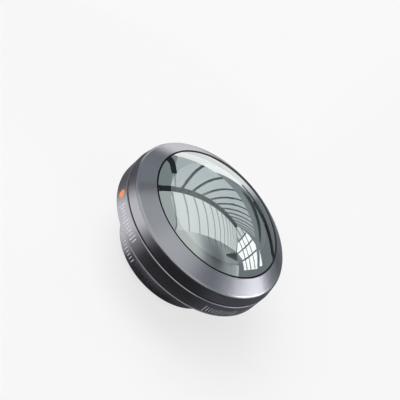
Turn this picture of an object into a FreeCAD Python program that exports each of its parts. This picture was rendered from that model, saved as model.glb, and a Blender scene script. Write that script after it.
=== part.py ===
import FreeCAD, Part
import math
import os
import re
import Sketcher

# Clip-on fisheye lens for a phone, standing on its rear collar.
# Millimetres. Z is the optical axis and points out of the front glass.
# The origin is the centre of the collar's rear face. +X passes through the alignment dot.

NEAR = 0.001

SIZES = {
    # Rear end of the outside, up from the collar's rear face
    "collar_length": 1.9,
    # Front end of the outside, down from the rim round the glass
    "cone_drop": 2.1,
    "bezel_wall": 2.55,
    "housing_wall": 4.05,
    "boss_height": 1.0,
    # Edge treatments
    "bezel_round": 1.05,
    "rear_round": 0.6,
    "seam_groove": 0.32,
    "lip_chamfer": 0.25,
    "barrel_chamfer": 0.5,
    "tube_chamfer": 0.25,
    # Clearances of the fits
    "thread_clearance": 0.05,
    "slip_clearance": 0.1,
    "end_clearance": 0.1,
    # Front bezel: the opening, and the walls outwards from the glass
    "opening_radius": 15.0,
    "neck_wall": 1.82,
    "skirt_wall": 1.25,
    "bezel_inset": 0.43,
    "lip_thickness": 0.65,
    "gasket_thickness": 0.15,
    "thread_length": 2.2,
    "thread_lead_in": 0.25,
    # Main housing
    "ledge_width": 0.8,
    "ledge_drop": 1.3,
    "shim_thickness": 0.2,
    # Front meniscus
    "dome_radius": 26.8,
    "glass_gap": 0.12,
    "shoulder_width": 1.0,
    "shoulder_height": 2.4,
    "hollow_radius": 15.5,
    "seat_width": 4.08,
    # Seal ring behind the front meniscus
    "seal_inset": 1.28,
    "seal_section": 0.6,
    "seal_groove_width": 1.0,
    # Head of the lens cell
    "head_wall": 2.0,
    "head_floor": 1.1,
    "head_gap": 0.2,
    # Second meniscus and the ring that holds it
    "second_seat_depth": 3.2,
    "second_radius": 10.8,
    "second_edge": 1.77,
    "second_front_radius": 22.0,
    "second_rear_radius": 10.0,
    "second_seat_width": 3.25,
    "second_ring_width": 0.95,
    "second_ring_gap": 0.1,
    # Tail of the lens cell
    "tail_bore": 8.2,
    "tail_wall": 1.2,
    "stop_lip": 0.8,
    "stop_lip_width": 0.5,
    "tail_gap": 0.2,
    "tail_room": 0.4,
    # Rear group, from the front
    "third_edge": 2.2,
    "third_rear_radius": 18.0,
    "third_seat_width": 1.3,
    "spacer_wall": 1.05,
    "front_spacer_length": 1.2,
    "stop_thickness": 0.2,
    "stop_radius": 3.6,
    "rear_spacer_length": 1.2,
    "doublet_front_radius": 24.0,
    "doublet_joint_radius": 20.0,
    "doublet_rear_radius": 40.0,
    "doublet_front_thickness": 1.07,
    "doublet_rear_edge": 0.79,
    "rear_ring_width": 1.25,
    "rear_ring_length": 0.62,
    "notch_angle": 9.0,
    "notch_depth": 0.35,
    # Rear barrel: the walls outwards from the cell's tail
    "web_ledge": 0.95,
    "web_thickness": 2.0,
    "barrel_neck_wall": 1.4,
    "barrel_step": 1.1,
    "boss_step": 1.3,
    # Bayonet collar, inwards from the barrel, and its screws
    "barrel_rim": 1.4,
    "flange_width": 1.9,
    "flange_thickness": 0.8,
    "tube_wall": 2.0,
    "lug_reach": 0.75,
    "lug_count": 3,
    "lug_angle": 52.0,
    "lug_rear": 0.3,
    "lug_thickness": 0.85,
    "lug_chamfer": 0.2,
    "screw_edge": 0.9,
    "screw_radius": 0.55,
    "screw_length": 2.0,
    "screw_head_radius": 0.7,
    "screw_head_height": 0.4,
    "screw_slot_width": 0.22,
    "screw_slot_depth": 0.2,
    # Alignment dot let into the housing wall
    "dot_radius": 0.95,
    "dot_depth": 0.3,
    "dot_sink": 0.05,
}

# Radii and heights that follow from the sizes above. The heights climb through the
# stack of glasses from the collar to the rim, so a thicker glass makes a longer lens.
FOLLOWS = {
    "dome_edge": "opening_radius - glass_gap",
    "front_edge": "dome_edge + shoulder_width",
    "hollow_edge": "front_edge - seat_width",
    "recess_radius": "front_edge + slip_clearance",
    "thread_radius": "recess_radius + neck_wall",
    "body_radius": "thread_radius + skirt_wall",
    "bezel_radius": "body_radius - bezel_inset",
    "ledge_radius": "recess_radius - ledge_width",
    "cell_radius": "recess_radius - thread_clearance",
    "seal_radius": "recess_radius - seal_inset",
    "second_bore": "second_radius + slip_clearance",
    "second_hollow_edge": "second_radius - second_seat_width",
    "second_ring_radius": "second_bore - thread_clearance",
    "second_ring_bore": "second_ring_radius - second_ring_width",
    "head_radius": "second_bore + head_wall",
    "stop_lip_radius": "tail_bore - stop_lip_width",
    "stack_radius": "tail_bore - thread_clearance",
    "spacer_bore": "stack_radius - spacer_wall",
    "rear_ring_bore": "stack_radius - rear_ring_width",
    "doublet_radius": "tail_bore - slip_clearance",
    "third_hollow_edge": "doublet_radius - third_seat_width",
    "tail_radius": "tail_bore + tail_wall",
    "web_bore": "tail_radius + thread_clearance",
    "barrel_bore": "web_bore + web_ledge",
    "barrel_neck_radius": "barrel_bore + barrel_neck_wall",
    "barrel_radius": "barrel_neck_radius + barrel_step",
    "boss_radius": "barrel_radius + boss_step",
    "flange_radius": "barrel_radius - barrel_rim",
    "tube_radius": "flange_radius - flange_width",
    "collar_bore": "tube_radius - tube_wall",
    "lug_radius": "tube_radius + lug_reach",
    "screw_pitch_radius": "flange_radius - screw_edge",
    "barrel_rear": "collar_length",
    "flange_front": "barrel_rear + flange_thickness",
    "web_front": "flange_front + web_thickness",
    "tail_rear": "flange_front + tail_gap",
    "rear_ring_rear": "tail_rear + tail_room",
    "rear_ring_front": "rear_ring_rear + rear_ring_length",
    "doublet_rear_centre": "rear_ring_front + sqrt(doublet_rear_radius ^ 2 - rear_ring_bore ^ 2)",
    "doublet_rear_edge_height": "doublet_rear_centre - sqrt(doublet_rear_radius ^ 2 - doublet_radius ^ 2)",
    "doublet_joint_edge": "doublet_rear_edge_height + doublet_rear_edge",
    "doublet_joint_centre": "doublet_joint_edge - sqrt(doublet_joint_radius ^ 2 - doublet_radius ^ 2)",
    "doublet_joint_apex": "doublet_joint_centre + doublet_joint_radius",
    "doublet_front_apex": "doublet_joint_apex + doublet_front_thickness",
    "doublet_front_centre": "doublet_front_apex - doublet_front_radius",
    "doublet_front_edge": "doublet_front_centre + sqrt(doublet_front_radius ^ 2 - doublet_radius ^ 2)",
    "doublet_contact": "doublet_front_centre + sqrt(doublet_front_radius ^ 2 - spacer_bore ^ 2)",
    "stop_rear": "doublet_contact + rear_spacer_length",
    "stop_front": "stop_rear + stop_thickness",
    "third_rear": "stop_front + front_spacer_length",
    "third_rear_centre": "third_rear - sqrt(third_rear_radius ^ 2 - third_hollow_edge ^ 2)",
    "stack_front": "third_rear + third_edge",
    "second_seat": "stack_front + stop_lip",
    "second_front_edge": "second_seat + second_edge",
    "second_front_centre": "second_front_edge - sqrt(second_front_radius ^ 2 - second_radius ^ 2)",
    "second_rear_centre": "second_seat - sqrt(second_rear_radius ^ 2 - second_hollow_edge ^ 2)",
    "second_ring_rear": "second_front_centre + sqrt(second_front_radius ^ 2 - second_ring_bore ^ 2)",
    "head_rear": "second_seat - head_floor",
    "floor_top": "head_rear - head_gap",
    "front_seat": "second_seat + second_seat_depth",
    "ledge": "front_seat - ledge_drop",
    "cell_underside": "ledge + shim_thickness",
    "shoulder": "front_seat + shoulder_height",
    "lip_underside": "shoulder + gasket_thickness",
    "rim": "lip_underside + lip_thickness",
    "cone_foot": "rim - cone_drop",
    "seam": "cone_foot - bezel_wall",
    "thread_top": "seam + thread_length",
    "wall_rear": "seam - housing_wall",
    "barrel_top": "wall_rear - boss_height",
    "dome_centre": "rim - sqrt(dome_radius ^ 2 - dome_edge ^ 2)",
    "hollow_centre": "front_seat - sqrt(hollow_radius ^ 2 - hollow_edge ^ 2)",
    "dot_height": "wall_rear + housing_wall / 2",
    "dot_floor": "body_radius - dot_depth",
}

document = FreeCAD.newDocument("fisheye_lens")
sheet = document.addObject("Spreadsheet::Sheet", "sizes")
for row, (alias, size) in enumerate(SIZES.items(), start=1):
    sheet.set(f"A{row}", alias)
    sheet.set(f"B{row}", str(size))
    sheet.setAlias(f"B{row}", alias)
document.recompute()


def formula(text):
    """Write a sum of named sizes as an expression on the sheet."""

    def expand(match):
        word = match.group(0)
        if word in SIZES:
            return f"sizes.{word}"
        if word in FOLLOWS:
            return f"({formula(FOLLOWS[word])})"
        return word

    return re.sub(r"[a-z][a-z_]*", expand, text)


def value(text):
    """Work out a sum of named sizes as a number."""
    return float(sheet.evalExpression(formula(text)))


def new_body(label):
    """Start a piece under its own label."""
    body = document.addObject("PartDesign::Body", label)
    body.Label = label
    return body


def new_sketch(body, name, role, lift=None):
    """Lay a sketch on one of the body's origin planes, or parallel to it at a height."""
    sketch = body.newObject("Sketcher::SketchObject", name)
    plane = next(item for item in body.Origin.OriginFeatures if item.Role == role)
    sketch.AttachmentSupport = [(plane, "")]
    sketch.MapMode = "FlatFace"
    if lift:
        sketch.setExpression("AttachmentOffset.Base.z", formula(lift))
    return sketch


def pin_point(sketch, edge, end, across, up):
    """Tie one point of a sketch to its distances from the sketch's origin."""
    for kind, axis, text in (("DistanceX", -2, across), ("DistanceY", -1, up)):
        if text == "0":
            sketch.addConstraint(Sketcher.Constraint("PointOnObject", edge, end, axis))
            continue
        constraint = Sketcher.Constraint(kind, -1, 1, edge, end, value(text))
        number = sketch.addConstraint(constraint)
        sketch.setExpression(f"Constraints[{number}]", formula(text))


def outline(body, name, corners):
    """Draw a closed half section through the optical axis.

    A corner is (radius, height). A third item makes the edge from that corner to the next
    an arc of a sphere, and gives the height of the sphere's centre on the axis.
    """
    sketch = new_sketch(body, name, "XZ_Plane")
    spots = [FreeCAD.Vector(value(corner[0]), value(corner[1]), 0) for corner in corners]
    ends = []
    for number, corner in enumerate(corners):
        here = spots[number]
        there = spots[(number + 1) % len(spots)]
        if len(corner) == 2:
            sketch.addGeometry(Part.LineSegment(here, there))
            ends.append((1, 2))
            continue
        centre = FreeCAD.Vector(0, value(corner[2]), 0)
        circle = Part.Circle(centre, FreeCAD.Vector(0, 0, 1), (here - centre).Length)
        angles = [math.atan2(spot.y - centre.y, spot.x) for spot in (here, there)]
        sketch.addGeometry(Part.ArcOfCircle(circle, min(angles), max(angles)))
        sketch.addConstraint(Sketcher.Constraint("PointOnObject", number, 3, -2))
        ends.append((1, 2) if angles[0] < angles[1] else (2, 1))
    for number, corner in enumerate(corners):
        after = (number + 1) % len(corners)
        join = Sketcher.Constraint("Coincident", number, ends[number][1], after, ends[after][0])
        sketch.addConstraint(join)
    for number, corner in enumerate(corners):
        pin_point(sketch, number, ends[number][0], corner[0], corner[1])
    return sketch


def turned(body, name, corners, kind="Revolution", angle=None):
    """Turn a half section about the optical axis: all round, or a sector centred on +X."""
    sketch = outline(body, f"{name}_section", corners)
    feature = body.newObject(f"PartDesign::{kind}", name)
    feature.Profile = sketch
    feature.ReferenceAxis = (sketch, ["V_Axis"])
    if angle:
        feature.Midplane = True
        feature.setExpression("Angle", formula(angle))
    else:
        feature.Angle = 360
    document.recompute()
    return feature


def round_edge(body, name, feature, radius, height, size):
    """Round the circular edge of a feature that lies at a radius and height."""
    found = []
    for number, edge in enumerate(feature.Shape.Edges, start=1):
        circle = edge.Curve
        if not isinstance(circle, Part.Circle):
            continue
        if abs(circle.Radius - value(radius)) < NEAR and abs(circle.Center.z - value(height)) < NEAR:
            found.append(f"Edge{number}")
    fillet = body.newObject("PartDesign::Fillet", name)
    fillet.Base = (feature, found)
    fillet.setExpression("Radius", formula(size))
    document.recompute()
    return fillet


def repeat_round_axis(body, name, features, count):
    """Repeat features at equal steps round the optical axis."""
    pattern = body.newObject("PartDesign::PolarPattern", name)
    axis = next(item for item in body.Origin.OriginFeatures if item.Role == "Z_Axis")
    pattern.Originals = features
    pattern.Axis = (axis, [""])
    pattern.Angle = 360
    pattern.setExpression("Occurrences", formula(count))
    body.Tip = pattern
    document.recompute()
    return pattern


def disc_sketch(body, name, role, lift, centre, radius):
    """Draw one circle on a plane parallel to an origin plane."""
    sketch = new_sketch(body, name, role, lift)
    middle = FreeCAD.Vector(value(centre[0]), value(centre[1]), 0)
    sketch.addGeometry(Part.Circle(middle, FreeCAD.Vector(0, 0, 1), value(radius)))
    pin_point(sketch, 0, 3, centre[0], centre[1])
    number = sketch.addConstraint(Sketcher.Constraint("Radius", 0, value(radius)))
    sketch.setExpression(f"Constraints[{number}]", formula(radius))
    return sketch


def raised(body, name, sketch, length):
    """Pad a sketch along its plane's normal."""
    pad = body.newObject("PartDesign::Pad", name)
    pad.Profile = sketch
    pad.setExpression("Length", formula(length))
    document.recompute()
    return pad


def sunk(body, name, sketch, depth):
    """Pocket a sketch along its plane's normal, away from the origin."""
    pocket = body.newObject("PartDesign::Pocket", name)
    pocket.Profile = sketch
    pocket.Reversed = True
    pocket.setExpression("Length", formula(depth))
    document.recompute()
    return pocket


def ring(label, bore, radius, rear, front):
    """Turn a plain ring of rectangular section."""
    body = new_body(label)
    corners = [(bore, rear), (radius, rear), (radius, front), (bore, front)]
    turned(body, f"{label}_turning", corners)
    return body


SCREW_CENTRE = (
    "screw_pitch_radius * cos(180 deg / lug_count)",
    "screw_pitch_radius * sin(180 deg / lug_count)",
)


def front_bezel():
    """Ring with the sloping face round the glass, screwed on the housing."""
    body = new_body("front_bezel")
    turning = turned(body, "bezel_turning", [
        ("opening_radius", "rim - lip_chamfer"),
        ("opening_radius + lip_chamfer", "rim"),
        ("bezel_radius", "cone_foot"),
        ("body_radius", "seam + seam_groove"),
        ("body_radius - seam_groove", "seam"),
        ("thread_radius + thread_clearance", "seam"),
        ("thread_radius + thread_clearance", "thread_top + end_clearance"),
        ("recess_radius", "thread_top + end_clearance"),
        ("recess_radius", "lip_underside"),
        ("opening_radius", "lip_underside"),
    ])
    round_edge(body, "bezel_edge", turning, "bezel_radius", "cone_foot", "bezel_round")
    return body


def main_housing():
    """Outer shell with the threaded neck for the bezel and the ledge for the lens cell."""
    body = new_body("main_housing")
    turning = turned(body, "housing_turning", [
        ("barrel_neck_radius + thread_clearance", "barrel_top"),
        ("boss_radius", "barrel_top"),
        ("body_radius", "wall_rear"),
        ("body_radius", "seam - seam_groove"),
        ("body_radius - seam_groove", "seam"),
        ("thread_radius", "seam"),
        ("thread_radius", "thread_top - thread_lead_in"),
        ("thread_radius - thread_lead_in", "thread_top"),
        ("recess_radius", "thread_top"),
        ("recess_radius", "ledge"),
        ("ledge_radius", "ledge"),
        ("ledge_radius", "floor_top"),
        ("barrel_neck_radius + thread_clearance", "floor_top"),
    ])
    round_edge(body, "housing_rear_edge", turning, "body_radius", "wall_rear", "rear_round")
    seat = disc_sketch(body, "dot_outline", "YZ_Plane", "dot_floor", ("0", "dot_height"), "dot_radius")
    sunk(body, "dot_pocket", seat, "dot_depth * 2")
    return body


def alignment_dot():
    """Enamelled dot let into the housing wall, a hair below its surface."""
    body = new_body("alignment_dot")
    seat = disc_sketch(body, "dot_outline", "YZ_Plane", "dot_floor", ("0", "dot_height"), "dot_radius")
    raised(body, "dot_pad", seat, "dot_depth - dot_sink")
    return body


def rear_barrel():
    """Narrow barrel behind the housing, threaded into its floor, with a web for the collar."""
    body = new_body("rear_barrel")
    turned(body, "barrel_turning", [
        ("flange_radius + thread_clearance", "barrel_rear"),
        ("barrel_radius - barrel_chamfer", "barrel_rear"),
        ("barrel_radius", "barrel_rear + barrel_chamfer"),
        ("barrel_radius", "barrel_top"),
        ("barrel_neck_radius", "barrel_top"),
        ("barrel_neck_radius", "floor_top"),
        ("barrel_bore", "floor_top"),
        ("barrel_bore", "web_front"),
        ("web_bore", "web_front"),
        ("web_bore", "flange_front"),
        ("flange_radius + thread_clearance", "flange_front"),
    ])
    seat = disc_sketch(body, "screw_hole_outline", "XY_Plane", "flange_front", SCREW_CENTRE, "screw_radius")
    hole = sunk(body, "screw_hole", seat, "web_thickness")
    repeat_round_axis(body, "screw_holes", [hole], "lug_count")
    return body


def bayonet_collar():
    """Collar that turns into the phone case: a tube with lugs on a screwed flange."""
    body = new_body("bayonet_collar")
    turned(body, "collar_turning", [
        ("collar_bore + tube_chamfer", "0"),
        ("tube_radius - tube_chamfer", "0"),
        ("tube_radius", "tube_chamfer"),
        ("tube_radius", "barrel_rear"),
        ("flange_radius", "barrel_rear"),
        ("flange_radius", "flange_front"),
        ("collar_bore", "flange_front"),
        ("collar_bore", "tube_chamfer"),
    ])
    lug = turned(body, "lug", [
        ("collar_bore + tube_chamfer * 2", "lug_rear"),
        ("lug_radius - lug_chamfer", "lug_rear"),
        ("lug_radius", "lug_rear + lug_chamfer"),
        ("lug_radius", "lug_rear + lug_thickness"),
        ("collar_bore + tube_chamfer * 2", "lug_rear + lug_thickness"),
    ], angle="lug_angle")
    repeat_round_axis(body, "lugs", [lug], "lug_count")
    head = disc_sketch(body, "head_outline", "XY_Plane", "barrel_rear", SCREW_CENTRE,
                       "screw_head_radius + thread_clearance")
    head_seat = sunk(body, "head_seat", head, "screw_head_height")
    shank = disc_sketch(body, "shank_outline", "XY_Plane", "barrel_rear", SCREW_CENTRE,
                        "screw_radius + thread_clearance")
    shank_hole = sunk(body, "shank_hole", shank, "flange_thickness")
    repeat_round_axis(body, "collar_screw_seats", [head_seat, shank_hole], "lug_count")
    return body


def screw():
    """One slotted cheese-head screw of the collar, at its place."""
    head = Part.makeCylinder(value("screw_head_radius"), value("screw_head_height"))
    shank = Part.makeCylinder(value("screw_radius"), value("screw_head_height + screw_length"))
    slot = Part.makeBox(
        value("screw_head_radius * 2"),
        value("screw_slot_width"),
        value("screw_slot_depth"),
        FreeCAD.Vector(-value("screw_head_radius"), -value("screw_slot_width / 2"), 0),
    )
    shape = head.fuse(shank).cut(slot)
    shape.translate(FreeCAD.Vector(value(SCREW_CENTRE[0]), value(SCREW_CENTRE[1]), value("barrel_rear")))
    return shape


def collar_screws():
    """The screws that hold the collar, one between each pair of lugs."""
    group = document.addObject("Part::Feature", "collar_screws")
    count = round(value("lug_count"))
    screws = []
    for number in range(count):
        one = screw()
        one.rotate(FreeCAD.Vector(0, 0, 0), FreeCAD.Vector(0, 0, 1), number * 360 / count)
        screws.append(one)
    group.Shape = Part.makeCompound(screws)
    group.Placement = FreeCAD.Placement()
    return group


def front_element():
    """Large front meniscus: a shallow dome over a deeper hollow, with a ground shoulder."""
    body = new_body("front_element")
    turned(body, "front_grinding", [
        ("0", "dome_centre + dome_radius", "dome_centre"),
        ("dome_edge", "rim"),
        ("dome_edge", "shoulder"),
        ("front_edge", "shoulder"),
        ("front_edge", "front_seat"),
        ("hollow_edge", "front_seat", "hollow_centre"),
        ("0", "hollow_centre + hollow_radius"),
    ])
    return body


def front_seal():
    """Rubber ring in the groove of the cell's flange, pressed by the front meniscus."""
    seal = document.addObject("Part::Torus", "front_seal")
    seal.Label = "front_seal"
    seal.setExpression("Radius1", formula("seal_radius"))
    seal.setExpression("Radius2", formula("seal_section / 2"))
    seal.setExpression("Placement.Base.z", formula("front_seat - seal_section / 2"))
    return seal


def lens_cell():
    """Inner barrel that carries the glass behind the front meniscus."""
    body = new_body("lens_cell")
    turned(body, "cell_turning", [
        ("tail_bore", "tail_rear"),
        ("tail_radius", "tail_rear"),
        ("tail_radius", "head_rear"),
        ("head_radius", "head_rear"),
        ("head_radius", "cell_underside"),
        ("cell_radius", "cell_underside"),
        ("cell_radius", "front_seat"),
        ("seal_radius + seal_groove_width / 2", "front_seat"),
        ("seal_radius + seal_groove_width / 2", "front_seat - seal_section"),
        ("seal_radius - seal_groove_width / 2", "front_seat - seal_section"),
        ("seal_radius - seal_groove_width / 2", "front_seat"),
        ("second_bore", "front_seat"),
        ("second_bore", "second_seat"),
        ("stop_lip_radius", "second_seat"),
        ("stop_lip_radius", "stack_front"),
        ("tail_bore", "stack_front"),
    ])
    return body


def second_element():
    """Second meniscus, seated in the head of the cell."""
    body = new_body("second_element")
    turned(body, "second_grinding", [
        ("0", "second_front_centre + second_front_radius", "second_front_centre"),
        ("second_radius", "second_front_edge"),
        ("second_radius", "second_seat"),
        ("second_hollow_edge", "second_seat", "second_rear_centre"),
        ("0", "second_rear_centre + second_rear_radius"),
    ])
    return body


def third_element():
    """Flat-fronted concave element, first of the rear stack."""
    body = new_body("third_element")
    turned(body, "third_grinding", [
        ("0", "stack_front"),
        ("doublet_radius", "stack_front"),
        ("doublet_radius", "third_rear"),
        ("third_hollow_edge", "third_rear", "third_rear_centre"),
        ("0", "third_rear_centre + third_rear_radius"),
    ])
    return body


def doublet_front_element():
    """Front half of the cemented pair."""
    body = new_body("doublet_front_element")
    turned(body, "doublet_front_grinding", [
        ("0", "doublet_front_apex", "doublet_front_centre"),
        ("doublet_radius", "doublet_front_edge"),
        ("doublet_radius", "doublet_joint_edge", "doublet_joint_centre"),
        ("0", "doublet_joint_apex"),
    ])
    return body


def doublet_rear_element():
    """Rear half of the cemented pair, the last glass before the phone."""
    body = new_body("doublet_rear_element")
    turned(body, "doublet_rear_grinding", [
        ("0", "doublet_joint_apex", "doublet_joint_centre"),
        ("doublet_radius", "doublet_joint_edge"),
        ("doublet_radius", "doublet_rear_edge_height", "doublet_rear_centre"),
        ("0", "doublet_rear_centre - doublet_rear_radius"),
    ])
    return body


def notched_ring(label, bore, radius, rear, front, notch_rear, notch_front):
    """Turn a threaded ring and cut two spanner notches in its outer face."""
    body = ring(label, bore, radius, rear, front)
    past = "end_clearance"
    notch = turned(body, f"{label}_notch", [
        (f"{bore} - {past}", notch_rear),
        (f"{radius} + {past}", notch_rear),
        (f"{radius} + {past}", notch_front),
        (f"{bore} - {past}", notch_front),
    ], kind="Groove", angle="notch_angle")
    repeat_round_axis(body, f"{label}_notches", [notch], "2")
    return body


def all_pieces():
    """Make every piece, from the front to the rear."""
    return [
        front_bezel(),
        ring("lip_gasket", "opening_radius", "front_edge", "shoulder", "lip_underside"),
        front_element(),
        front_seal(),
        main_housing(),
        alignment_dot(),
        ring("focus_shim", "ledge_radius", "cell_radius", "ledge", "cell_underside"),
        lens_cell(),
        notched_ring("second_retaining_ring", "second_ring_bore", "second_ring_radius",
                     "second_ring_rear", "front_seat - second_ring_gap",
                     "front_seat - second_ring_gap - notch_depth", "front_seat"),
        second_element(),
        third_element(),
        ring("front_spacer", "spacer_bore", "stack_radius", "stop_front", "third_rear"),
        ring("aperture_stop", "stop_radius", "stack_radius", "stop_rear", "stop_front"),
        ring("rear_spacer", "spacer_bore", "stack_radius", "doublet_contact", "stop_rear"),
        doublet_front_element(),
        doublet_rear_element(),
        notched_ring("rear_retaining_ring", "rear_ring_bore", "stack_radius",
                     "rear_ring_rear", "rear_ring_front",
                     "rear_ring_rear - end_clearance", "rear_ring_rear + notch_depth"),
        rear_barrel(),
        bayonet_collar(),
        collar_screws(),
    ]


def check(pieces):
    """Stop if any object failed or any piece is not a sound solid."""
    for item in document.Objects:
        if "Invalid" in item.State or "Error" in item.State:
            raise RuntimeError(f"{item.Label} did not build: {item.State}")
    for piece in pieces:
        shape = piece.Shape
        if shape.isNull() or not shape.isValid() or not shape.Solids:
            raise RuntimeError(f"{piece.Label} is not a sound solid")


pieces = all_pieces()
document.recompute()
check(pieces)
os.makedirs("parts", exist_ok=True)
for piece in pieces:
    piece.Shape.exportStep(f"parts/{piece.Label}.step")
    print(f"{piece.Label}: {len(piece.Shape.Solids)} solid, {piece.Shape.Volume:.2f} mm3")
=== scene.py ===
"""Looks of a round fisheye conversion lens for a phone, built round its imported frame."""

import math

import bpy
from mathutils import Matrix, Vector


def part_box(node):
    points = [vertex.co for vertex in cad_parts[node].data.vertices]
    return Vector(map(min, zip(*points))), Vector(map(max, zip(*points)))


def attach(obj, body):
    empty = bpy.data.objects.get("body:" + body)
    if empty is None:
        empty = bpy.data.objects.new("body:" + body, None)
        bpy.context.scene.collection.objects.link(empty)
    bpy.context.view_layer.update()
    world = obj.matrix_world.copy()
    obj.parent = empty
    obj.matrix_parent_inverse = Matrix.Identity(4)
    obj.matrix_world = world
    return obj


bl_info = {
    "name": "Phone fisheye lens",
    "version": (1, 0, 0),
    "blender": (4, 5, 0),
    "location": "View3D > Sidebar > Lens",
    "description": "Finishes, printed ticks, studio and camera of a phone fisheye lens",
    "category": "Object",
}

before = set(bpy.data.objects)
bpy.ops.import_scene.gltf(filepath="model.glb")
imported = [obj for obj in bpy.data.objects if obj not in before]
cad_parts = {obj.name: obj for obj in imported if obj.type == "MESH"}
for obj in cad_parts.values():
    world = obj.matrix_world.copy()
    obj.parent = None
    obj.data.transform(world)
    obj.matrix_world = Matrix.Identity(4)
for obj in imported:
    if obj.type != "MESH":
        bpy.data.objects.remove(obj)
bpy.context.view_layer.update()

MM = 0.001

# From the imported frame: the radius of the two printed walls, and the heights of the rim and the dome
WALL_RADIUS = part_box("main_housing")[1].x
BARREL_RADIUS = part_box("rear_barrel")[1].x
RIM_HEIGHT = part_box("front_bezel")[1].z
DOME_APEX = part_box("front_element")[1].z

# The front glass: its dome, the depth that still counts as the dome, and the edge of the hollow behind it
DOME_RADIUS = 26.8 * MM
DOME_SKIN = 0.03 * MM
HOLLOW_EDGE = 10.7 * MM
# The hollow's finish: how much it mirrors, how rough it is, and its painted reflection, dim at -X and
# bright at +X
HOLLOW_MIRROR = 0.25
HOLLOW_ROUGHNESS = 0.5
PAINTED_VEIL_DIM = "#959B9C"
PAINTED_VEIL_BRIGHT = "#F4F8F7"

# The V-shaped seam: its height, how far it reaches above and below that, and how deep its lips stay pale
# before the groove is painted black as shade
SEAM_HEIGHT = 14.0 * MM
SEAM_REACH = 0.34 * MM
SEAM_LIP = 0.13 * MM

# The bevelled inner lip of the bezel: its outer edge, and how far down from the rim it is blackened
LIP_EDGE = 15.27 * MM
LIP_DEPTH = 0.8 * MM

# Sizes of the patterns in the finishes, in mm
DYE_CLOUD = 6.0
GLASS_SMUDGE = 9.0
MOULD_GRAIN = 0.25
TURNING_LINE = 0.237
ENAMEL_PEEL = 0.3
PAPER_FIBRE = 1.5
# How far the roughness of blasted metal varies from grain to grain, as a share of it
SATIN_SPREAD = 0.05

# How far a printed tick's corners are rounded, as a share of its width, and the steps of that curve
TICK_ROUNDING = 0.42
TICK_ROUNDING_STEPS = 3
# The printed scales, whose every fifth tick is long: height on the wall, direction of the first tick and
# step in degrees, and count of ticks
LONG_TICK_EVERY = 5
BRIGHT_SCALE = {"height": 12.0 * MM, "first": 9.0, "step": 2.25, "count": 12}
DIM_SCALE = {"height": 11.6 * MM, "first": 94.0, "step": 2.25, "count": 12}
BARREL_SCALE = {"height": 3.6 * MM, "first": 5.0, "step": 3.4, "count": 10, "size": 0.75}


# Settings that a user would change

class LensFinishSettings(bpy.types.PropertyGroup):
    metal_colour: bpy.props.StringProperty(
        name="Gunmetal", description="Dye of the outer anodised metal, as an sRGB hex value",
        default="#ABAAB1")
    metal_roughness: bpy.props.FloatProperty(
        name="Satin", description="Roughness of the bead-blasted outer metal",
        default=0.25, min=0.0, max=1.0, subtype="FACTOR")
    inner_colour: bpy.props.StringProperty(
        name="Black anodise", description="Dye of the cell, rings and collar, as an sRGB hex value",
        default="#24262A")
    glass_colour: bpy.props.StringProperty(
        name="Glass mirror tint", description="Tint of what the front glass reflects, as an sRGB hex value",
        default="#F2F8F7")
    glass_mirror: bpy.props.FloatProperty(
        name="Mirror share", description="Share of the light that the coated front glass sends back",
        default=0.55, min=0.0, max=1.0, subtype="FACTOR")
    dot_colour: bpy.props.StringProperty(
        name="Alignment dot", description="Enamel of the alignment dot, as an sRGB hex value",
        default="#FF8A45")
    print_colour: bpy.props.StringProperty(
        name="Pale ticks", description="Ink of the ticks beside the dot, as an sRGB hex value",
        default="#D9DADD")
    dim_print_colour: bpy.props.StringProperty(
        name="Dim ticks", description="Ink of the quieter ticks a quarter turn on, as an sRGB hex value",
        default="#A9AAAD")


class LensMarkSettings(bpy.types.PropertyGroup):
    ink_height: bpy.props.FloatProperty(
        name="Ink height", description="How far the printed ticks stand proud of the metal",
        default=0.012 * MM, min=0.0, unit="LENGTH")
    tick_width: bpy.props.FloatProperty(
        name="Tick width", description="Width of one printed tick round the wall",
        default=0.17 * MM, min=0.0, unit="LENGTH")
    tick_length: bpy.props.FloatProperty(
        name="Long tick", description="Length of every fifth tick along the lens",
        default=1.9 * MM, min=0.0, unit="LENGTH")
    short_tick_length: bpy.props.FloatProperty(
        name="Short tick", description="Length of the ticks between the long ones",
        default=1.3 * MM, min=0.0, unit="LENGTH")


class LensStageSettings(bpy.types.PropertyGroup):
    floor_colour: bpy.props.StringProperty(
        name="Floor", description="Colour of the seamless floor, as an sRGB hex value",
        default="#F8F8F8")
    camera_place: bpy.props.FloatVectorProperty(
        name="Camera place", description="Where the camera stands in the lens's own frame",
        default=(0.129548, 0.178960, 0.178159), size=3, subtype="TRANSLATION", unit="LENGTH")
    camera_turn: bpy.props.FloatVectorProperty(
        name="Camera turn", description="Camera rotation as XYZ angles",
        default=tuple(math.radians(a) for a in (42.3356, -37.2386, 178.8423)), size=3,
        subtype="EULER", unit="ROTATION")
    camera_lens: bpy.props.FloatProperty(
        name="Focal length", description="Focal length on a 36 mm wide sensor",
        default=121.9, min=1.0, unit="CAMERA")


# Materials

def linear(hex_colour):
    """sRGB hex value to the linear colour that a shader socket takes."""
    channels = (int(hex_colour[i:i + 2], 16) / 255 for i in (1, 3, 5))
    straight = [c / 12.92 if c <= 0.04045 else ((c + 0.055) / 1.055) ** 2.4 for c in channels]
    return (*straight, 1.0)


def add_node(tree, kind, inputs=None, **settings):
    """One shader node with its settings, and its inputs set or linked."""
    made = tree.nodes.new(kind)
    for name, given in settings.items():
        setattr(made, name, given)
    for name, given in (inputs or {}).items():
        if isinstance(given, bpy.types.NodeSocket):
            tree.links.new(given, made.inputs[name])
        else:
            made.inputs[name].default_value = given
    return made


def new_material(name):
    """A material with an empty node tree, and that tree."""
    material = bpy.data.materials.new(name)
    material.use_nodes = True
    material.node_tree.nodes.clear()
    return material, material.node_tree


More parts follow.
